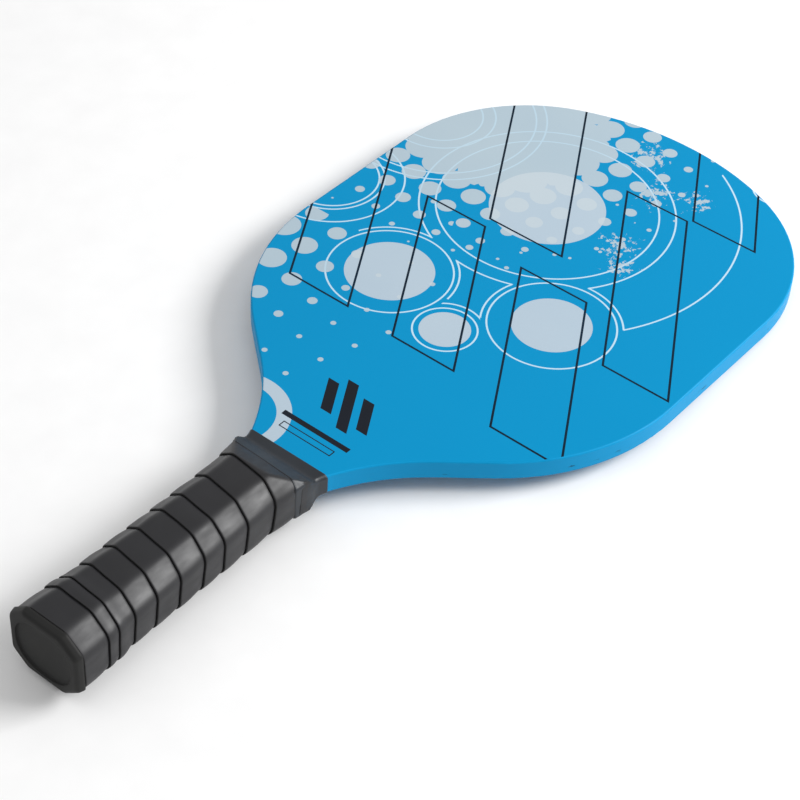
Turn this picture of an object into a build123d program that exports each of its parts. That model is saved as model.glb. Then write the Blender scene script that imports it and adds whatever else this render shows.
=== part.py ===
from build123d import *
import math
import os

os.makedirs("parts", exist_ok=True)

# Paddle lying flat: x runs from the butt to the tip, y across, z through the blade.
# Every length is in millimetres. The working origin is the butt on the blade's mid-plane.

# ---- blade outline, upper half: corner points and the radii that round them ----
TIP_X = 408.0
HALF_WIDTH = 97.6
CROWN_R = 126.0
CORNER_R = 78.0
SHOULDER = (210.2, HALF_WIDTH)
SHOULDER_R = 95.0
KNEE = (153.0, 30.9)
KNEE_R = 100.0
NECK = (129.1, 18.2)
NECK_R = 30.0
WAIST = (103.0, 15.4)

# ---- blade thickness, bottom to top ----
FILM = 0.1
PLIES = [
    ("rear_face_veneer", 0.7),
    ("rear_crossband", 1.5),
    ("rear_long_ply", 1.5),
    ("centre_crossband", 1.6),
    ("front_long_ply", 1.5),
    ("front_crossband", 1.5),
    ("front_face_veneer", 0.7),
]
WOOD = sum(thickness for name, thickness in PLIES)
BLADE = WOOD + 2 * FILM
EASED_EDGE = 0.9

# ---- handle core: eight-sided, widening at the throat, ramped down to the blade ----
CORE_HALF_H = 13.1
LEG_Y = 7.6
LEG_Z = 6.2
RAMP_X = 109.1
RAMP_SLOPE = 0.537
CORE_X = 3.0
SCALE_END_X = 123.8

# ---- grip tape and finishing band ----
TAPE = 1.6
TAPE_END_X = 127.0
BAND_OVER_TAPE = 0.5
BAND_ON_BLADE = 0.9
BAND_START_X = 117.0
BAND_RAMP_END_X = 127.6
BAND_END_X = 131.7

# ---- butt cap ----
FLANGE_X = 3.6
FLANGE_END_HALF = (16.9, 14.9)
FLANGE_SEAM_HALF = (17.6, 15.4)
FLANGE_ROUND = 1.6
SKIRT = 0.9
SKIRT_END_X = 22.0
SKIRT_TAPER_X = 28.0
RECESS_HALF = (14.0, 12.2)
RECESS_DEPTH = 0.8

# ---- staples through the cap's skirt ----
STAPLE_X = 12.0
STAPLE_SPAN = 9.0
STAPLE_WIRE = (1.2, 0.6)
STAPLE_CROWN = 0.5
STAPLE_TIP_Z = 7.5

BIG = 500.0
ROW_BASE = CORE_HALF_H + SKIRT + TAPE


def arc_between(centre, radius, start_angle, end_angle):
    """Arc through three points on a circle, angles in radians."""
    angles = [start_angle, (start_angle + end_angle) / 2, end_angle]
    points = [(centre[0] + radius * math.cos(a), centre[1] + radius * math.sin(a)) for a in angles]
    return ThreePointArc(*points)


def blade_outline():
    """Face bounded by the blade and its handle tongue."""
    crown_x = TIP_X - CROWN_R
    corner_y = HALF_WIDTH - CORNER_R
    reach = CROWN_R - CORNER_R
    corner_x = crown_x + math.sqrt(reach**2 - corner_y**2)
    meet = math.atan2(corner_y, corner_x - crown_x)

    corners = [(CORE_X, WAIST[1]), WAIST, NECK, KNEE, SHOULDER, (corner_x, HALF_WIDTH)]
    below = [(x, -y) for x, y in corners]
    edges = Polyline(*corners) + Polyline(*below)
    edges += Line(corners[0], below[0])
    edges += arc_between((corner_x, corner_y), CORNER_R, math.pi / 2, meet)
    edges += arc_between((corner_x, -corner_y), CORNER_R, -math.pi / 2, -meet)
    edges += arc_between((crown_x, 0), CROWN_R, meet, -meet)
    face = make_face(edges)

    for point, radius in [(NECK, NECK_R), (KNEE, KNEE_R), (SHOULDER, SHOULDER_R)]:
        for side in (1, -1):
            spot = Vector(point[0], side * point[1], 0)
            vertex = min(face.vertices(), key=lambda v: (Vector(v.X, v.Y, 0) - spot).length)
            face = fillet(vertex, radius)
    return face


def slab(x0, x1, z0, z1):
    """Wide block between two x stations and two heights."""
    size = (x1 - x0, BIG, z1 - z0)
    return Pos((x0 + x1) / 2, 0, (z0 + z1) / 2) * Box(*size)


def thick(face, height):
    """The face made into a plate, centred on the mid-plane."""
    return Pos(0, 0, -height / 2) * extrude(face, height)


def core_half_width(x):
    """Half width of the handle core, which spreads from the waist to the neck."""
    spread = (NECK[1] - WAIST[1]) / (NECK[0] - WAIST[0])
    return WAIST[1] + spread * max(0.0, x - WAIST[0])


def eight_sides(x, half_w, half_h, leg_y, leg_z):
    """Eight-sided face across the handle at station x."""
    quarter = [(half_w, half_h - leg_z), (half_w - leg_y, half_h)]
    points = quarter + [(-y, z) for y, z in reversed(quarter)]
    points += [(-y, -z) for y, z in quarter] + [(y, -z) for y, z in reversed(quarter)]
    return Plane.YZ.offset(x) * make_face(Polyline(*points, close=True))


def handle_section(x, grow):
    """Core section at x, with every side moved out by grow."""
    half_w = core_half_width(x)
    slant = math.hypot(LEG_Y, LEG_Z)
    ny = LEG_Z / slant
    nz = LEG_Y / slant
    reach = ny * half_w + nz * (CORE_HALF_H - LEG_Z) + grow
    wide = half_w + grow
    high = CORE_HALF_H + grow
    leg_y = wide - (reach - nz * high) / ny
    leg_z = high - (reach - ny * wide) / nz
    return eight_sides(x, wide, high, leg_y, leg_z)


def ramp_height(x, grow):
    """Height of the ramp's surface at x, moved out by grow."""
    return CORE_HALF_H - RAMP_SLOPE * (x - RAMP_X) + grow * math.hypot(1, RAMP_SLOPE)


def ramp_profile(x0, x1, grow):
    """Plate seen from the side: full height, then the two ramps."""
    high = CORE_HALF_H + grow
    turn = RAMP_X + (ramp_height(RAMP_X, grow) - high) / RAMP_SLOPE
    low = ramp_height(x1, grow)
    points = [(x0, high), (turn, high), (x1, low), (x1, -low), (turn, -high), (x0, -high)]
    return extrude(Plane.XZ * make_face(Polyline(*points, close=True)), BIG / 2, both=True)


def handle_block(x0, x1, grow, grow_end=None):
    """Solid handle between two stations, ramped where it reaches the throat."""
    if grow_end is not None:
        return loft([handle_section(x0, grow), handle_section(x1, grow_end)], ruled=True)
    stations = [x0, x1]
    if x0 < WAIST[0] < x1:
        stations = [x0, WAIST[0], x1]
    sections = [handle_section(x, grow) for x in stations]
    block = loft(sections, ruled=True)
    if x1 > RAMP_X:
        block = block & ramp_profile(x0, x1, grow)
    return block


def save(name, shape):
    """Place the piece in the finished frame and write its file."""
    shape = Pos(-TIP_X / 2, 0, ROW_BASE) * shape
    export_step(shape, os.path.join("parts", name + ".step"))


# ---- blade blank: sharp where the handle grips it, eased round the head ----
outline = blade_outline()
bare = thick(outline, WOOD)
printed = thick(outline, BLADE)
rim = printed.edges().filter_by(lambda e: abs(abs(e.center().Z) - BLADE / 2) < FILM / 2)
head_rim = rim.filter_by(lambda e: e.center().X > NECK[0])
eased = fillet(head_rim, EASED_EDGE)

tongue = bare & slab(0, BAND_END_X, -BLADE, BLADE)
head = eased & slab(BAND_END_X, TIP_X + 1, -BLADE, BLADE)
blank = tongue + head

# ---- the seven glued plies ----
z = -WOOD / 2
for ply_name, thickness in PLIES:
    save(ply_name, blank & slab(0, TIP_X + 1, z, z + thickness))
    z += thickness

# ---- printed films on the two striking faces ----
save("front_graphic_film", blank & slab(0, TIP_X + 1, WOOD / 2, BLADE))
save("rear_graphic_film", blank & slab(0, TIP_X + 1, -BLADE, -WOOD / 2))

# ---- butt cap: flange, skirt and shallow oval recess ----
core = handle_block(CORE_X, SCALE_END_X, 0.0)
flange = loft(
    [
        eight_sides(0, *FLANGE_END_HALF, LEG_Y, LEG_Z),
        eight_sides(FLANGE_X, *FLANGE_SEAM_HALF, LEG_Y, LEG_Z),
    ],
    ruled=True,
)
flange = fillet(flange.faces().sort_by(Axis.X)[0].edges(), FLANGE_ROUND)
recess = extrude(Plane.YZ * Ellipse(*RECESS_HALF), RECESS_DEPTH)
skirt = handle_block(FLANGE_X, SKIRT_END_X, SKIRT)
cap = flange + skirt - core - recess

# ---- two wire staples that hold the cap, one through each flat ----
crown_z = CORE_HALF_H + SKIRT
leg_length = crown_z + STAPLE_CROWN - STAPLE_TIP_Z
crown = Pos(STAPLE_X, 0, crown_z + STAPLE_CROWN / 2) * Box(STAPLE_WIRE[0], STAPLE_SPAN, STAPLE_CROWN)
staple = crown
for side in (1, -1):
    leg_y = side * (STAPLE_SPAN - STAPLE_WIRE[1]) / 2
    leg = Box(*STAPLE_WIRE, leg_length)
    staple += Pos(STAPLE_X, leg_y, STAPLE_TIP_Z + leg_length / 2) * leg
staples = [staple, Rot(180, 0, 0) * staple]
for piece in staples:
    cap -= piece
save("butt_cap", cap)
save("butt_cap_staples", staples[0] + staples[1])

# ---- handle scales glued to the tongue ----
front_scale = core & slab(0, SCALE_END_X, WOOD / 2, BIG)
rear_scale = core & slab(0, SCALE_END_X, -BIG, -WOOD / 2)
save("front_handle_scale", front_scale - staples[0])
save("rear_handle_scale", rear_scale - staples[1])

# ---- grip tape as one sleeve: over the skirt, along the handle, thinning at the throat ----
tape_outer = handle_block(FLANGE_X, SKIRT_END_X, SKIRT + TAPE)
tape_outer += handle_block(SKIRT_END_X, SKIRT_TAPER_X, SKIRT + TAPE, TAPE)
tape_outer += handle_block(SKIRT_TAPER_X, TAPE_END_X, TAPE)
tape = tape_outer - blank - core - skirt
for piece in staples:
    tape -= piece
save("grip_tape", tape)

# ---- finishing band round the end of the tape and the throat ----
band_on_ramp = handle_block(BAND_START_X, BAND_RAMP_END_X, TAPE + BAND_OVER_TAPE)
wide_outline = offset(outline, BAND_ON_BLADE)
band_on_blade = thick(wide_outline, BLADE + 2 * BAND_ON_BLADE)
band_on_blade = band_on_blade & slab(TAPE_END_X, BAND_END_X, -BIG, BIG)
band = band_on_ramp + band_on_blade - tape_outer - blank
save("finishing_band", band)
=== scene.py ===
import math

import bpy
from mathutils import Matrix, Vector, noise


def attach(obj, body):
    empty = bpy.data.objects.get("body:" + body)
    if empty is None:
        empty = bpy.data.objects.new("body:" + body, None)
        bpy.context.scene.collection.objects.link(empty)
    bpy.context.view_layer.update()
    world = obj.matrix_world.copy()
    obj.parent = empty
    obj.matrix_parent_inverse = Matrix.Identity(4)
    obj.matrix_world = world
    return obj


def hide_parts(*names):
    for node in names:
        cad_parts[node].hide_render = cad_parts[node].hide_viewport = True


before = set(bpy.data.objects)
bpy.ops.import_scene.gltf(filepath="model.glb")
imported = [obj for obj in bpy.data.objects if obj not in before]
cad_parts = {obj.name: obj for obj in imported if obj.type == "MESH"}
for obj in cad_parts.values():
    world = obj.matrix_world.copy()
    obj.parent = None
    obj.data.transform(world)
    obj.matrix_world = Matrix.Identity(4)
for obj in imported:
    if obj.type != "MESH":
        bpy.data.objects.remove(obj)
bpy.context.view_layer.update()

MM = 0.001

# ---- the paddle's own sizes in millimetres, x counted from the butt ----
LENGTH = 408.0
AXIS_Z = 15.6
HALF_BLADE = 4.6
CORE_HALF_H = 13.1
LEG_Y = 7.6
LEG_Z = 6.2
WAIST = (103.0, 15.4)
NECK = (129.1, 18.2)
KNEE = (153.0, 30.9)
RAMP_X = 109.1
RAMP_SLOPE = 0.537
SKIRT = 0.9
SKIRT_END_X = 22.0
SKIRT_TAPER_X = 28.0
FLANGE_X = 3.6


def smooth_step(t):
    """Eased 0 to 1."""
    t = min(1.0, max(0.0, t))
    return t * t * (3 - 2 * t)


def srgb(r, g, b):
    """Linear colour from screen values of 0 to 255."""
    out = []
    for v in (r, g, b):
        c = v / 255
        out.append(c / 12.92 if c <= 0.04045 else ((c + 0.055) / 1.055) ** 2.4)
    return (*out, 1.0)


# =====================================================================
# Shader helpers: numbers that vary over the surface, written as sums
# =====================================================================
class Num:
    """A number in a node tree. Sums, products and comparisons add Math nodes."""

    def __init__(self, tree, value):
        self.tree = tree
        self.value = value

    def op(self, kind, *others):
        node = self.tree.nodes.new("ShaderNodeMath")
        node.operation = kind
        for socket, item in zip(node.inputs, (self, *others)):
            plug(self.tree, socket, item)
        return Num(self.tree, node.outputs[0])

    def __add__(self, other):
        return self.op("ADD", other)

    def __sub__(self, other):
        return self.op("SUBTRACT", other)

    def __mul__(self, other):
        return self.op("MULTIPLY", other)

    def __abs__(self):
        return self.op("ABSOLUTE")

    def below(self, other):
        return self.op("LESS_THAN", other)

    def above(self, other):
        return self.op("GREATER_THAN", other)

    def near(self, other, reach):
        return self.op("COMPARE", other, reach)

    def larger(self, other):
        return self.op("MAXIMUM", other)


def plug(tree, socket, item):
    """Feeds a socket with a Num, an output or a plain value."""
    item = item.value if isinstance(item, Num) else item
    if isinstance(item, bpy.types.NodeSocket):
        tree.links.new(item, socket)
    else:
        socket.default_value = item


def vector_op(tree, kind, a, b):
    """Vector Math with two inputs; returns the node."""
    node = tree.nodes.new("ShaderNodeVectorMath")
    node.operation = kind
    plug(tree, node.inputs[0], a)
    plug(tree, node.inputs[1], b)
    return node


def distance(tree, a, b):
    return Num(tree, vector_op(tree, "DISTANCE", a, b).outputs["Value"])


def dot(tree, a, b):
    return Num(tree, vector_op(tree, "DOT_PRODUCT", a, b).outputs["Value"])


def scaled(tree, a, factors):
    return vector_op(tree, "MULTIPLY", a, factors).outputs["Vector"]


def combine(tree, x, y, z=0.0):
    node = tree.nodes.new("ShaderNodeCombineXYZ")
    for socket, item in zip(node.inputs, (x, y, z)):
        plug(tree, socket, item)
    return node.outputs[0]


def split(tree, vector):
    node = tree.nodes.new("ShaderNodeSeparateXYZ")
    plug(tree, node.inputs[0], vector)
    return [Num(tree, out) for out in node.outputs]


def object_mm(tree):
    """Place on the object, in millimetres of the shared frame."""
    place = tree.nodes.new("ShaderNodeTexCoord").outputs["Object"]
    return scaled(tree, place, (1000.0, 1000.0, 1000.0))


def noise_tex(tree, vector, scale, detail=2.0, rough=0.5):
    node = tree.nodes.new("ShaderNodeTexNoise")
    node.inputs["Scale"].default_value = scale
    node.inputs["Detail"].default_value = detail
    node.inputs["Roughness"].default_value = rough
    plug(tree, node.inputs["Vector"], vector)
    return Num(tree, node.outputs["Fac"])


def ramp(tree, item, low, high, out_low=0.0, out_high=1.0):
    node = tree.nodes.new("ShaderNodeMapRange")
    values = (item, low, high, out_low, out_high)
    for socket, value in zip(node.inputs, values):
        plug(tree, socket, value)
    return Num(tree, node.outputs[0])


def mix(tree, fac, a, b):
    """Colour a where fac is 0, b where it is 1."""
    node = tree.nodes.new("ShaderNodeMix")
    node.data_type = "RGBA"
    plug(tree, node.inputs["Factor"], fac)
    plug(tree, node.inputs["A"], a)
    plug(tree, node.inputs["B"], b)
    return next(out for out in node.outputs if out.type == "RGBA")


def material(name, roughness=0.5, specular=0.5, metallic=0.0):
    mat = bpy.data.materials.new(name)
    mat.use_nodes = True
    shader = next(n for n in mat.node_tree.nodes if n.type == "BSDF_PRINCIPLED")
    shader.inputs["Roughness"].default_value = roughness
    shader.inputs["Specular IOR Level"].default_value = specular
    shader.inputs["Metallic"].default_value = metallic
    return mat, mat.node_tree, shader


def bump(tree, shader, height, strength, depth_mm):
    node = tree.nodes.new("ShaderNodeBump")
    node.inputs["Strength"].default_value = strength
    node.inputs["Distance"].default_value = depth_mm * MM
    plug(tree, node.inputs["Height"], height)
    tree.links.new(node.outputs[0], shader.inputs["Normal"])


# =====================================================================
# Colours
# =====================================================================
BLUE = srgb(0, 137, 188)
RIM_BLUE = srgb(0, 142, 195)
PALE = srgb(173, 189, 201)
PALE_DOT = srgb(169, 186, 196)
DISC_DOT = srgb(184, 196, 203)
LINE_WHITE = srgb(184, 211, 226)
INK_BLACK = srgb(12, 26, 38)
MARK_BLACK = srgb(26, 28, 34)


# =====================================================================
# The printed face
# =====================================================================
# Ringed discs: centre x, centre y, disc radius, ring radius
DISCS = [
    (121.8, 17.9, 26.2, 49.9),
    (40.0, 41.7, 19.6, 27.6),
    (58.3, -31.2, 17.2, 27.4),
    (25.9, 0.3, 11.0, 13.7),
]
OUTER_RING = 57.4
OUTER_ARC = 86.5
COLLAR_RING = 30.1
SMALL_COLLAR_RING = 16.8
RING_W = 0.8
LINE_W = 1.0
THROAT_ARC = (-70.2, 32.2, 17.9, 24.1)

# Faint rings: centre x, centre y, radii
FAINT_RINGS = [
    (144.6, 97.0, (20.0, 26.0, 45.0, 50.0)),
    (74.0, 103.5, (5.5, 21.5, 24.0, 33.0)),
    (203.0, -52.0, (11.0,)),
]

# Splashes of pale ink: centre x, centre y, reach
SPLASHES = [
    (171, -30, 15), (185, 6, 20), (163, -12, 19), (121, -22, 18), (110, -30, 14), (176, 46, 18),
]

# Small round specks lie round the largest disc
SPECK_SCALE = 0.13
SPECK_CENTRE = (122.0, 18.0)
SPECK_REACH = 55.0

# The two dot grids meet at this x
DOT_GRIDS_MEET = 52.0

# Slanted bars: centre, half width across the slant, half height along the blade
SLANT = (0.5, -0.866, 0.0)
BARS = [
    ((50.0, 22.0), 14.0, 42.0),
    ((104.0, -48.0), 14.0, 52.0),
    ((146.0, 40.0), 17.0, 48.0),
    ((186.0, -36.0), 14.0, 28.0),
    ((62.0, 86.0), 14.0, 52.0),
    ((36.0, -41.6), 15.0, 44.0),
]

# Emblem by the throat: three strokes (sideways shift, half height) over two straight bars
EMBLEM_X = -37.0
STROKES = [(-8.0, 8.0), (0.0, 12.5), (8.0, 8.0)]
STROKE_HALF = 2.4
SOLID_BAR = (-56.3, 1.3, 17.0)
OUTLINE_BAR = (-61.8, 1.5, 13.0)
OUTLINE_HALF = 0.25


def halftone(tree, spot, origin, pitch, angle, hub, radius):
    """Dots on a turned square grid. radius(d) gives a dot's size from its distance to the hub."""
    turn = math.radians(angle)
    e1 = (-math.sin(turn), -math.cos(turn), 0.0)
    e2 = (-math.cos(turn), math.sin(turn), 0.0)
    start = Vector((*origin, 0.0))
    reach = Vector((*hub, 0.0)) - start
    u = (dot(tree, spot, e1) - start.dot(Vector(e1))) * (1 / pitch)
    v = (dot(tree, spot, e2) - start.dot(Vector(e2))) * (1 / pitch)
    hub_uv = (reach.dot(Vector(e1)) / pitch, reach.dot(Vector(e2)) / pitch, 0.0)
    cell_u = u.op("ROUND")
    cell_v = v.op("ROUND")
    next_u = cell_u + (u - cell_u).op("SIGN")
    next_v = cell_v + (v - cell_v).op("SIGN")
    here = combine(tree, u, v)
    total = None
    for cu, cv in ((cell_u, cell_v), (next_u, cell_v), (cell_u, next_v)):
        centre = combine(tree, cu, cv)
        size = radius(distance(tree, centre, hub_uv) * pitch)
        inside = (distance(tree, here, centre) * pitch).below(size)
        total = inside if total is None else total.larger(inside)
    return total


def bar_outline(tree, x, spot, centre, half_width, half_height):
    """Thin outline of a slanted bar whose two ends run straight across the blade."""
    offset = SLANT[0] * centre[0] + SLANT[1] * centre[1]
    across = abs(dot(tree, spot, SLANT) - offset) - half_width
    along = abs(x - centre[0]) - half_height
    return across.larger(along).near(0.0, LINE_W / 2)


def print_material():
    mat, tree, shader = material("face_print", roughness=0.42, specular=0.1)
    place = object_mm(tree)
    x, y = split(tree, place)[:2]
    spot = combine(tree, x, y)

    def centre_distance(cx, cy):
        return distance(tree, spot, (cx, cy, 0.0))

    # dots: the upper field merges into a solid patch near the tip, the lower one fades to specks
    upper = halftone(
        tree, spot, (140.5, 19.5), 14.1, 20.0, (158.3, 67.6),
        lambda d: (d * -0.118 + 12.3).larger(d * -0.45 + 28.0) * d.below(101.0),
    )
    lower = halftone(
        tree, spot, (7.7, 69.0), 16.6, 17.3, (18.1, 111.6),
        lambda d: (d * -0.13 + 10.1).larger(1.25) * d.below(99.0),
    )
    dots = (upper * x.above(DOT_GRIDS_MEET)).larger(lower * x.below(DOT_GRIDS_MEET))

    # splashes and specks of the same pale ink
    blotch = noise_tex(tree, spot, 0.3, detail=4.0, rough=0.68)
    splash = None
    for cx, cy, reach in SPLASHES:
        near = ramp(tree, centre_distance(cx, cy), 0.0, reach, 0.44, 0.76)
        here = blotch.above(near)
        splash = here if splash is None else splash.larger(here)
    speck = tree.nodes.new("ShaderNodeTexVoronoi")
    speck.inputs["Scale"].default_value = SPECK_SCALE
    plug(tree, speck.inputs["Vector"], spot)
    luck = split(tree, speck.outputs["Color"])
    speck_size = (luck[0] * luck[0] * 0.24 + 0.05) * luck[1].above(0.4)
    specks = Num(tree, speck.outputs["Distance"]).below(speck_size)
    specks = specks * centre_distance(*SPECK_CENTRE).below(SPECK_REACH)
    pale = dots.larger(splash).larger(specks)

    colour = mix(tree, pale, BLUE, PALE_DOT)

    # rings inside the solid patch, off the left edge and at the tip
    rings = None
    for cx, cy, radii in FAINT_RINGS:
        d = centre_distance(cx, cy)
        for radius in radii:
            ring = d.near(radius, RING_W / 2)
            rings = ring if rings is None else rings.larger(ring)

    # discs, with the dots showing through in a lighter ink
    spans = [centre_distance(cx, cy) for cx, cy, _, _ in DISCS]
    disc = None
    for d, (_, _, disc_radius, ring_radius) in zip(spans, DISCS):
        inside = d.below(disc_radius)
        disc = inside if disc is None else disc.larger(inside)
        rings = rings.larger(d.near(ring_radius, RING_W / 2))
    colour = mix(tree, disc, colour, PALE)
    colour = mix(tree, disc * dots, colour, DISC_DOT)

    # second ring of the largest disc, broken where it meets the rings round its neighbours
    big, left, right, small = spans
    clear = left.above(COLLAR_RING) * right.above(COLLAR_RING)
    rings = rings.larger(big.near(OUTER_RING, RING_W / 2) * clear)
    far = big.above(OUTER_RING)
    for d in (left, right):
        above_disc = d.near(COLLAR_RING, RING_W / 2) * big.below(OUTER_ARC) * far
        rings = rings.larger(above_disc * small.above(SMALL_COLLAR_RING) * x.above(42.0))
    neck = small.near(SMALL_COLLAR_RING, RING_W / 2) * clear * x.above(35.0)
    rings = rings.larger(neck)
    sweep = big.near(OUTER_ARC, RING_W / 2) * y.below(-27.0)
    sweep = sweep * right.above(COLLAR_RING) * x.above(40.0)
    rings = rings.larger(sweep)
    faint = pale * -0.45 + 1.0
    colour = mix(tree, rings * faint, colour, LINE_WHITE)

    # broad pale arc at the throat
    arc_x, arc_y, arc_inner, arc_outer = THROAT_ARC
    throat = centre_distance(arc_x, arc_y)
    arc = throat.below(arc_outer) * throat.above(arc_inner)
    colour = mix(tree, arc, colour, PALE)

    # thin dark slanted bars over the head
    lines = None
    for centre, half_width, half_height in BARS:
        outline = bar_outline(tree, x, spot, centre, half_width, half_height)
        lines = outline if lines is None else lines.larger(outline)
    colour = mix(tree, lines, colour, INK_BLACK)

    # plain emblem by the throat: three slanted strokes over two straight ones
    mark = None
    for shift, half_height in STROKES:
        lean = dot(tree, spot, SLANT) - (SLANT[0] * EMBLEM_X + shift)
        stroke = abs(lean).below(STROKE_HALF) * abs(x - EMBLEM_X).below(half_height)
        mark = stroke if mark is None else mark.larger(stroke)
    bar_x, bar_half_x, bar_half_y = SOLID_BAR
    mark = mark.larger(abs(x - bar_x).below(bar_half_x) * abs(y).below(bar_half_y))
    bar_x, bar_half_x, bar_half_y = OUTLINE_BAR
    from_edge = (abs(x - bar_x) - bar_half_x).larger(abs(y) - bar_half_y)
    mark = mark.larger(from_edge.near(0.0, OUTLINE_HALF))
    colour = mix(tree, mark, colour, MARK_BLACK)

    # slow drift in the ink, fine orange peel in the lacquer
    drift = noise_tex(tree, place, 0.02, detail=1.0)
    shade = ramp(tree, drift, 0.3, 0.7, 0.0, 0.05)
    colour = mix(tree, shade, colour, srgb(0, 110, 165))
    tree.links.new(colour, shader.inputs["Base Color"])
    peel = noise_tex(tree, place, 0.9, detail=2.0)
    bump(tree, shader, peel, 0.12, 0.05)
    scuff = noise_tex(tree, place, 0.15, detail=5.0)
    plug(tree, shader.inputs["Roughness"], ramp(tree, scuff, 0.3, 0.7, 0.38, 0.48))
    return mat


def rim_material(name, voids):
    """Blue paint over the ply edges. voids adds the dark pinholes that show through it."""
    mat, tree, shader = material(name, roughness=0.45, specular=0.12)
    place = object_mm(tree)
    grain = noise_tex(tree, scaled(tree, place, (0.12, 0.12, 2.2)), 1.0, detail=3.0)
    tone = ramp(tree, grain, 0.35, 0.7, 0.0, 0.14)
    colour = mix(tree, tone, RIM_BLUE, srgb(0, 126, 181))
    if voids:
        long_spots = noise_tex(tree, scaled(tree, place, (0.17, 0.17, 1.3)), 1.0, detail=2.0)
        patches = noise_tex(tree, place, 0.018, detail=1.0)
        here = long_spots.above(0.655) * patches.above(0.5)
        colour = mix(tree, here * 0.8, colour, srgb(10, 40, 60))
    tree.links.new(colour, shader.inputs["Base Color"])
    bump(tree, shader, grain, 0.25, 0.08)
    return mat


def wood_material(name, light, dark):
    mat, tree, shader = material(name, roughness=0.62, specular=0.3)
    place = object_mm(tree)
    grain = noise_tex(tree, scaled(tree, place, (0.02, 0.6, 0.6)), 1.0, detail=6.0, rough=0.6)
    fibre = noise_tex(tree, scaled(tree, place, (0.15, 5.0, 5.0)), 1.0, detail=3.0)
    colour = mix(tree, ramp(tree, grain, 0.35, 0.65), light, dark)
    tree.links.new(colour, shader.inputs["Base Color"])
    bump(tree, shader, fibre, 0.3, 0.08)
    return mat


def steel_material():
    mat, tree, shader = material("staple_steel", roughness=0.35, metallic=1.0)
    place = object_mm(tree)
    drawn = noise_tex(tree, scaled(tree, place, (3.0, 0.4, 0.4)), 1.0)
    colour = mix(tree, drawn, srgb(150, 150, 152), srgb(190, 190, 192))
    tree.links.new(colour, shader.inputs["Base Color"])
    return mat


def grip_material(name, base, low_rough, high_rough, grain_depth):
    """Smooth polyurethane skin with a fine grain and faint handling marks."""
    mat, tree, shader = material(name, specular=0.5)
    place = object_mm(tree)
    cloud = noise_tex(tree, place, 0.07, detail=3.0)
    lighter = tuple(c * 1.25 for c in base[:3]) + (1.0,)
    colour = mix(tree, ramp(tree, cloud, 0.35, 0.65), base, lighter)
    tree.links.new(colour, shader.inputs["Base Color"])
    smear = noise_tex(tree, scaled(tree, place, (0.08, 0.25, 0.25)), 1.0, detail=4.0)
    plug(tree, shader.inputs["Roughness"], ramp(tree, smear, 0.3, 0.7, low_rough, high_rough))
    pores = noise_tex(tree, place, 3.2, detail=3.0)
    folds = noise_tex(tree, scaled(tree, place, (0.9, 0.25, 0.25)), 1.0, detail=2.0)
    bump(tree, shader, pores + folds * 2.0, 0.22, grain_depth)
    return mat


def cap_material():
    mat, tree, shader = material("cap_moulding", roughness=0.55, specular=0.2)
    place = object_mm(tree)
    grit = noise_tex(tree, place, 4.5, detail=2.0)
    cloud = noise_tex(tree, place, 0.12, detail=2.0)
    colour = mix(tree, cloud, srgb(31, 31, 31), srgb(37, 37, 36))
    tree.links.new(colour, shader.inputs["Base Color"])
    bump(tree, shader, grit, 0.3, 0.06)
    return mat


# =====================================================================
# Handle sections: eight rounded corners, points kept in step along x
# =====================================================================
PER_SIDE = 6
PER_CORNER = 5
CORNER_R = 6.0


def core_half_width(x):
    spread = (NECK[1] - WAIST[1]) / (NECK[0] - WAIST[0])
    return WAIST[1] + spread * max(0.0, x - WAIST[0])


def handle_corners(x, grow):
    """The eight corners of the handle at x, every side moved out by grow, ramp included."""
    slant = math.hypot(LEG_Y, LEG_Z)
    ny = LEG_Z / slant
    nz = LEG_Y / slant
    half_w = core_half_width(x)
    reach = ny * half_w + nz * (CORE_HALF_H - LEG_Z) + grow
    wide = half_w + grow
    slope = CORE_HALF_H - RAMP_SLOPE * (x - RAMP_X) + grow * math.hypot(1, RAMP_SLOPE)
    high = min(CORE_HALF_H + grow, slope)
    leg_y = min(wide - 0.4, (reach - nz * high) / ny)
    side_z = min(high - 0.4, (reach - ny * wide) / nz)
    return wide, high, leg_y, side_z


def octagon(wide, high, top_y, side_z):
    """Corner list from the top of the -y side, over the top, and back under."""
    return [
        (-wide, side_z), (-top_y, high), (top_y, high), (wide, side_z),
        (wide, -side_z), (top_y, -high), (-top_y, -high), (-wide, -side_z),
    ]


def corner_arc(before, corner, after, radius, t):
    """Point on the rounded corner, t from 0 to 1."""
    c = Vector(corner)
    to_a = Vector(before) - c
    to_b = Vector(after) - c
    half = (math.pi - to_a.angle(to_b)) / 2
    cut = min(radius * math.tan(half), 0.46 * to_a.length, 0.46 * to_b.length)
    a = c + to_a.normalized() * cut
    b = c + to_b.normalized() * cut
    return (1 - t) ** 2 * a + 2 * t * (1 - t) * c + t * t * b


RING = []
for corner in range(8):
    for step in range(PER_CORNER + 1):
        RING.append((corner, step / PER_CORNER, 0.0))
    for step in range(1, PER_SIDE):
        RING.append((corner, 1.0, step / PER_SIDE))
START = len(RING) - PER_SIDE // 2
RING = RING[START:] + RING[:START]


def ring_point(corners, index, radius=CORNER_R):
    corner, t, along = RING[index % len(RING)]
    before, here, after = corners[corner - 1], corners[corner], corners[(corner + 1) % 8]
    point = corner_arc(before, here, after, radius, t)
    if along:
        beyond = corners[(corner + 2) % 8]
        point = point.lerp(corner_arc(here, after, beyond, radius, 0.0), along)
    return point


def around_fractions():
    """How far round the handle each ring point lies, from 0 to 1."""
    corners = octagon(*handle_corners(60.0, 1.2))
    points = [ring_point(corners, i) for i in range(len(RING))]
    steps = [(points[i] - points[i - 1]).length for i in range(1, len(points))]
    total = sum(steps) + (points[0] - points[-1]).length
    out = [0.0]
    for step in steps:
        out.append(out[-1] + step / total)
    return out


AROUND = around_fractions()


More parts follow.
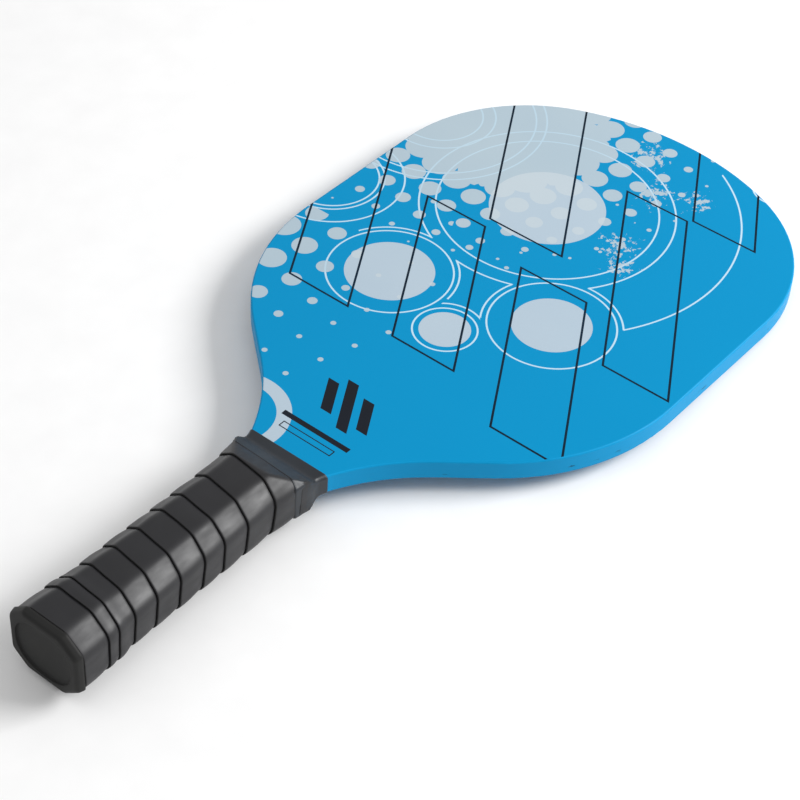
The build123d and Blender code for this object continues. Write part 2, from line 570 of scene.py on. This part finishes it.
def to_frame(x, y, z):
    return ((x - LENGTH / 2) * MM, y * MM, (z + AXIS_Z) * MM)


def mesh_piece(name, verts, faces, mats, face_mats=None):
    data = bpy.data.meshes.new(name)
    data.from_pydata(verts, [], faces)
    data.update()
    for mat in mats:
        data.materials.append(mat)
    if face_mats:
        data.polygons.foreach_set("material_index", face_mats)
    data.polygons.foreach_set("use_smooth", [True] * len(data.polygons))
    piece = bpy.data.objects.new(name, data)
    bpy.context.scene.collection.objects.link(piece)
    return piece


def tube_faces(rows, columns, close_rows=False):
    """Quads of a closed tube: rows along it, columns round it."""
    faces = []
    last = rows if close_rows else rows - 1
    for r in range(last):
        for c in range(columns):
            a = r * columns + c
            b = r * columns + (c + 1) % columns
            up = ((r + 1) % rows) * columns
            faces.append((a, b, up + (c + 1) % columns, up + c))
    return faces


# =====================================================================
# Grip tape: one ribbon wound in overlapping turns
# =====================================================================
# Turn count and where that turn's near edge lies, in millimetres from the butt
TURNS = [
    (-1.0, 3.7), (0.55, 3.7), (0.93, 16.0), (1.25, 17.0), (2.0, 21.3), (2.25, 23.1),
    (3.25, 32.3), (4.25, 44.2), (5.25, 56.5), (6.25, 69.4), (7.25, 79.7), (8.25, 93.0),
    (9.25, 108.4), (10.25, 121.0), (11.25, 126.5),
]
FIRST_TURN = -0.42
LAST_TURN = 10.2
STEP = 0.6
LOW_GROW = 0.9
PILLOW = 0.3
TAPE_WOBBLE = 0.14
WOBBLE_SCALE = 0.12
NARROWEST_TURN = 1.5
TUCK = 1.3


def edge_x(turn):
    for (t0, x0), (t1, x1) in zip(TURNS, TURNS[1:]):
        if turn <= t1:
            return x0 + (x1 - x0) * (turn - t0) / (t1 - t0)
    return TURNS[-1][1]


def skirt_lift(x):
    """Extra height over the cap's skirt."""
    return SKIRT * (1 - smooth_step((x - SKIRT_END_X) / (SKIRT_TAPER_X - SKIRT_END_X)))


def wobble(x, index, amount, scale):
    angle = 2 * math.pi * AROUND[index % len(RING)]
    spot = Vector((x * scale, 2.2 * math.cos(angle), 2.2 * math.sin(angle)))
    return amount * noise.noise(spot)


def tape_profile():
    """Cross-section of the ribbon: share of the turn and height. Top first, then the underside."""
    top = [(0.0, 0.42), (0.006, 0.72), (0.022, 0.93), (0.05, 1.0)]
    for share in (0.1, 0.18, 0.28, 0.4, 0.52, 0.64, 0.76, 0.86, 0.92):
        top.append((share, 1.0))
    top += [(0.955, 0.86), (0.985, 0.7), (1.02, 0.66), (1.12, 0.7), (TUCK, 0.7)]
    under = [(TUCK, 0.0), (1.0, 0.0), (0.7, 0.0), (0.35, 0.0), (0.0, 0.0)]
    return top + under


def build_tape(skin, edge):
    profile = tape_profile()
    columns = len(profile)
    count = len(RING)
    first = int(FIRST_TURN * count)
    steps = int(LAST_TURN * count) - first
    verts, faces, face_mats = [], [], []
    for step in range(steps + 1):
        index = (step + first) % count
        turn = (step + first) // count + AROUND[index]
        x0 = edge_x(turn)
        x1 = edge_x(turn + 1)
        wide = max(NARROWEST_TURN, x1 - x0)
        for share, height in profile:
            x = x0 + wide * share
            grow = LOW_GROW + skirt_lift(x) + STEP * (1 - share) - STEP * (1 - height)
            crown = PILLOW * math.sin(math.pi * min(1.0, share))
            grow += wobble(x, index, TAPE_WOBBLE, WOBBLE_SCALE) + crown
            corners = octagon(*handle_corners(x, grow))
            point = ring_point(corners, index)
            verts.append(to_frame(x, point[0], point[1]))
    for step in range(steps):
        for c in range(columns):
            a = step * columns + c
            b = step * columns + (c + 1) % columns
            faces.append((a, a + columns, b + columns, b))
            # the ribbon's edge faces take the second skin, painted darker as shade in the seams
            # between turns
            face_mats.append(1 if c < 2 or c == columns - 1 else 0)
    last = steps * columns
    faces.append(tuple(range(columns)))
    faces.append(tuple(last + c for c in reversed(range(columns))))
    face_mats += [0, 0]
    return mesh_piece("grip_tape_wrap", verts, faces, [skin, edge], face_mats)


# =====================================================================
# Finishing band, draped from the tape's ramp on to the blade
# =====================================================================
BAND_END_X = 131.7
BAND_GROW = 1.45
BLADE_GROW = 0.55
NECK_REACH = 5.9
HANDLE_SHAPE_TO_X = 127.6
BLEND_FROM_X = 123.4
BLEND_LENGTH = 4.8
BLADE_CHAMFER = 1.2
BAND_LOW_X = 119.4
BAND_DIP = 4.4
BAND_CORNER_R = 2.0


def blade_half_width(x):
    """Half width of the blade near the neck, with the neck's rounding."""
    s1 = (NECK[1] - WAIST[1]) / (NECK[0] - WAIST[0])
    s2 = (KNEE[1] - NECK[1]) / (KNEE[0] - NECK[0])
    t = min(1.0, max(0.0, (x - NECK[0] + NECK_REACH) / (2 * NECK_REACH)))
    base = NECK[1] + s1 * (x - NECK[0])
    lift = (s2 - s1) * NECK_REACH * t * t
    if x > NECK[0] + NECK_REACH:
        return NECK[1] + s2 * (x - NECK[0])
    return base + lift


def band_corners(x, grow):
    """Handle shape below the ramp's end, blade shape above it."""
    on_handle = handle_corners(min(x, HANDLE_SHAPE_TO_X), BAND_GROW + grow)
    wide = blade_half_width(x) + BLADE_GROW + grow
    high = HALF_BLADE + BLADE_GROW + grow
    on_blade = (wide, high, wide - BLADE_CHAMFER, high - BLADE_CHAMFER)
    t = smooth_step((x - BLEND_FROM_X) / BLEND_LENGTH)
    return octagon(*[a + (b - a) * t for a, b in zip(on_handle, on_blade)])


def band_start_x(index):
    """The band's lower edge, which runs lower on the near side."""
    angle = 2 * math.pi * AROUND[index]
    dip = (0.5 + 0.5 * math.cos(angle)) ** 1.5
    return BAND_LOW_X - BAND_DIP * dip


def creases(x, index):
    """Small diagonal folds, strongest where the band turns the corners on to the blade."""
    angle = 2 * math.pi * AROUND[index]
    at_side = abs(math.cos(angle)) ** 2
    reach = math.exp(-((x - 123.5) / 4.5) ** 2)
    fold = noise.noise(Vector((x * 0.5 + 3.2 * math.sin(angle), 5.0 * angle - x * 0.35, 1.7)))
    soft = noise.noise(Vector((x * 0.12, 1.4 * math.cos(angle), 1.4 * math.sin(angle))))
    return reach * (0.12 + 0.42 * at_side) * fold + 0.12 * soft


def build_band(skin):
    # share of the band's width and height above or below its outer skin, edges rounded down
    middle = [0.03, 0.07, 0.13, 0.2, 0.28, 0.36, 0.44, 0.52, 0.6, 0.67, 0.74, 0.8, 0.86, 0.91]
    middle += [0.95, 0.975]
    outer = [(0.0, -0.3), (0.01, -0.08)] + [(share, 0.0) for share in middle]
    outer += [(0.99, -0.06), (1.0, -0.25)]
    inner = [(1.0, -0.74), (0.8, -0.6), (0.5, -0.6), (0.2, -0.6), (0.0, -0.55)]
    profile = outer + inner
    verts = []
    for share, grow in profile:
        for index in range(len(RING)):
            x0 = band_start_x(index)
            x = x0 + (BAND_END_X - x0) * share
            lift = grow + (creases(x, index) if grow > -0.5 else 0.0)
            point = ring_point(band_corners(x, lift), index, BAND_CORNER_R)
            verts.append(to_frame(x, point[0], point[1]))
    faces = tube_faces(len(profile), len(RING), close_rows=True)
    return mesh_piece("finishing_band_wrap", verts, faces, [skin])


# =====================================================================
# Butt cap with its rounded flange, oval recess and hidden skirt
# =====================================================================
SOCKET_GAP = 0.03
SKIRT_CORNER_R = 1.6
END_ROUND = 1.6
OVAL_POWER = 2.35
FLOOR_DEPTH = 0.69
SOCKET_DEPTH = 3.0


def build_cap(mat):
    """Skirt and socket, then round the flange to the end face and down into the recess."""
    def flange(x, inset):
        t = x / FLANGE_X
        wide = 16.9 + 0.7 * t - inset
        high = 14.9 + 0.5 * t - inset
        bite = 0.45 * inset
        return octagon(wide, high, wide - LEG_Y + bite, high - LEG_Z + bite)

    def oval(index, half_y, half_z):
        around = ring_point(flange(0.0, 0.0), index)
        angle = math.atan2(around[1] / half_z, around[0] / half_y)
        c, s = math.cos(angle), math.sin(angle)
        power = 2 / OVAL_POWER
        y = half_y * math.copysign(abs(c) ** power, c)
        z = half_z * math.copysign(abs(s) ** power, s)
        return Vector((y, z))

    rows = []
    skirt_rows = [(3.3, SOCKET_GAP), (12.0, SOCKET_GAP), (SKIRT_END_X, SOCKET_GAP)]
    skirt_rows += [(SKIRT_END_X, SKIRT), (12.0, SKIRT), (FLANGE_X, SKIRT)]
    for x, grow in skirt_rows:
        corners = octagon(*handle_corners(x, grow))
        rows.append([(x, *ring_point(corners, i, SKIRT_CORNER_R)) for i in range(len(RING))])
    rounding = [(FLANGE_X, 0.15), (FLANGE_X - 0.15, 0.0), (2.6, 0.0), (END_ROUND, 0.0)]
    for k in range(1, 7):
        angle = k * math.pi / 12
        drop = END_ROUND - END_ROUND * math.cos(angle)
        rounding.append((END_ROUND - END_ROUND * math.sin(angle), drop))
    for x, inset in rounding:
        corners = flange(x, inset)
        corner_r = 3.0 - 0.4 * inset
        rows.append([(x, *ring_point(corners, i, corner_r)) for i in range(len(RING))])
    # lip and floor of the recess: depth, half width, half height
    lip = [(0.0, 14.3, 12.5), (0.0, 14.12, 12.32), (0.05, 14.0, 12.2), (0.25, 13.92, 12.12)]
    lip += [(0.62, 13.88, 12.08), (0.78, 13.75, 11.95), (0.82, 13.4, 11.6), (0.8, 9.0, 7.6)]
    lip += [(0.74, 5.0, 4.2), (0.7, 1.5, 1.3)]
    for x, half_y, half_z in lip:
        rows.append([(x, *oval(i, half_y, half_z)) for i in range(len(RING))])
    verts = [to_frame(*p) for row in rows for p in row]
    faces = tube_faces(len(rows), len(RING))
    last = (len(rows) - 1) * len(RING)
    verts.append(to_frame(FLOOR_DEPTH, 0.0, 0.0))
    tip = len(verts) - 1
    verts.append(to_frame(SOCKET_DEPTH, 0.0, 0.0))
    root = len(verts) - 1
    for c in range(len(RING)):
        after = (c + 1) % len(RING)
        faces.append((last + c, last + after, tip))
        faces.append((after, c, root))
    return mesh_piece("butt_cap_moulding", verts, faces, [mat])


# =====================================================================
# Put it together
# =====================================================================
def give(node, mat):
    """Gives a CAD node its material."""
    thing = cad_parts[node]
    for slot in thing.material_slots:
        slot.material = mat
    if not thing.material_slots:
        thing.data.materials.append(mat)


face_print = print_material()
rim_plain = rim_material("rim_paint", voids=False)
rim_voids = rim_material("rim_paint_pinholes", voids=True)
scale_wood = wood_material("scale_wood", srgb(214, 184, 140), srgb(186, 150, 104))

for node in ("front_graphic_film", "rear_graphic_film"):
    give(node, face_print)
for node in ("front_face_veneer", "front_crossband", "front_long_ply", "centre_crossband"):
    give(node, rim_plain)
for node in ("rear_crossband", "rear_face_veneer"):
    give(node, rim_plain)
give("rear_long_ply", rim_voids)
for node in ("front_handle_scale", "rear_handle_scale"):
    give(node, scale_wood)
give("butt_cap_staples", steel_material())

tape_skin = grip_material("grip_skin", srgb(25, 25, 28), 0.4, 0.54, 0.03)
# darker, rougher skin for the ribbon's edge faces: painted shade that draws the seams between
# turns as dark lines
tape_seam_shade = grip_material("grip_seam_painted_shade", srgb(10, 10, 11), 0.7, 0.85, 0.05)
band_skin = grip_material("band_skin", srgb(26, 31, 37), 0.36, 0.48, 0.02)

tape = build_tape(tape_skin, tape_seam_shade)
band = build_band(band_skin)
cap = build_cap(cap_material())
for piece, node, slot in (
    (tape, "grip_tape", "grip_tape"),
    (band, "finishing_band", "band_tape"),
    (cap, "butt_cap", "cap_plastic"),
):
    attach(piece, "root")
    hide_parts(node)


# =====================================================================
# Floor, lights and camera
# =====================================================================
FLOOR_SIZE = 12.0


def floor_plane():
    """The floor leans: the paddle lies on the grip beside the ramp and on the tip's lower edge."""
    low = Vector((-0.0974, 0.0, 0.00085))
    tip = Vector((0.2031, 0.0, 0.01092))
    lean = math.atan2(tip.z - low.z, tip.x - low.x)
    bpy.ops.mesh.primitive_plane_add(size=FLOOR_SIZE, location=low)
    floor = bpy.context.active_object
    floor.name = "studio_floor"
    floor.rotation_euler = (0.0, -lean, 0.0)
    mat, tree, shader = material("floor_paper", roughness=0.9, specular=0.1)
    fleck = noise_tex(tree, object_mm(tree), 0.05)
    tone = ramp(tree, fleck, 0.3, 0.7)
    colour = mix(tree, tone, srgb(243, 243, 243), srgb(246, 246, 246))
    tree.links.new(colour, shader.inputs["Base Color"])
    floor.data.materials.append(mat)


def area_light(name, place, aim, size, power):
    data = bpy.data.lights.new(name, "AREA")
    data.shape = "RECTANGLE"
    data.size, data.size_y = size
    data.energy = power
    lamp = bpy.data.objects.new(name, data)
    lamp.location = place
    lamp.rotation_euler = (Vector(aim) - Vector(place)).to_track_quat("-Z", "Y").to_euler()
    bpy.context.scene.collection.objects.link(lamp)


floor_plane()
area_light("key_left", (-1.2, 1.2, 2.0), (0.0, 0.0, 0.0), (1.6, 1.6), 4.0)
area_light("side_right", (0.95, -1.1, 1.05), (-0.1, 0.0, 0.0), (1.0, 0.7), 34.0)
area_light("overhead", (-0.5, -0.3, 2.4), (0.0, 0.0, 0.0), (2.2, 2.2), 6.0)

bpy.context.scene.view_settings.view_transform = "Standard"
world = bpy.data.worlds.new("studio")
world.use_nodes = True
sky = next(n for n in world.node_tree.nodes if n.type == "BACKGROUND")
sky.inputs["Color"].default_value = (1.0, 1.0, 1.0, 1.0)
sky.inputs["Strength"].default_value = 0.5
bpy.context.scene.world = world

camera_data = bpy.data.cameras.new("camera")
camera_data.sensor_width = 36.0
camera_data.lens = 97.05
camera = bpy.data.objects.new("camera", camera_data)
right = Vector((0.632783, -0.773007, 0.045236))
forward = Vector((0.58728, 0.441031, -0.67867))
up = right.cross(forward)
turn = Matrix((right, up, -forward)).transposed().to_4x4()
camera.matrix_world = Matrix.Translation((-0.5275, -0.3943, 0.6066)) @ turn
bpy.context.scene.collection.objects.link(camera)
bpy.context.scene.camera = camera
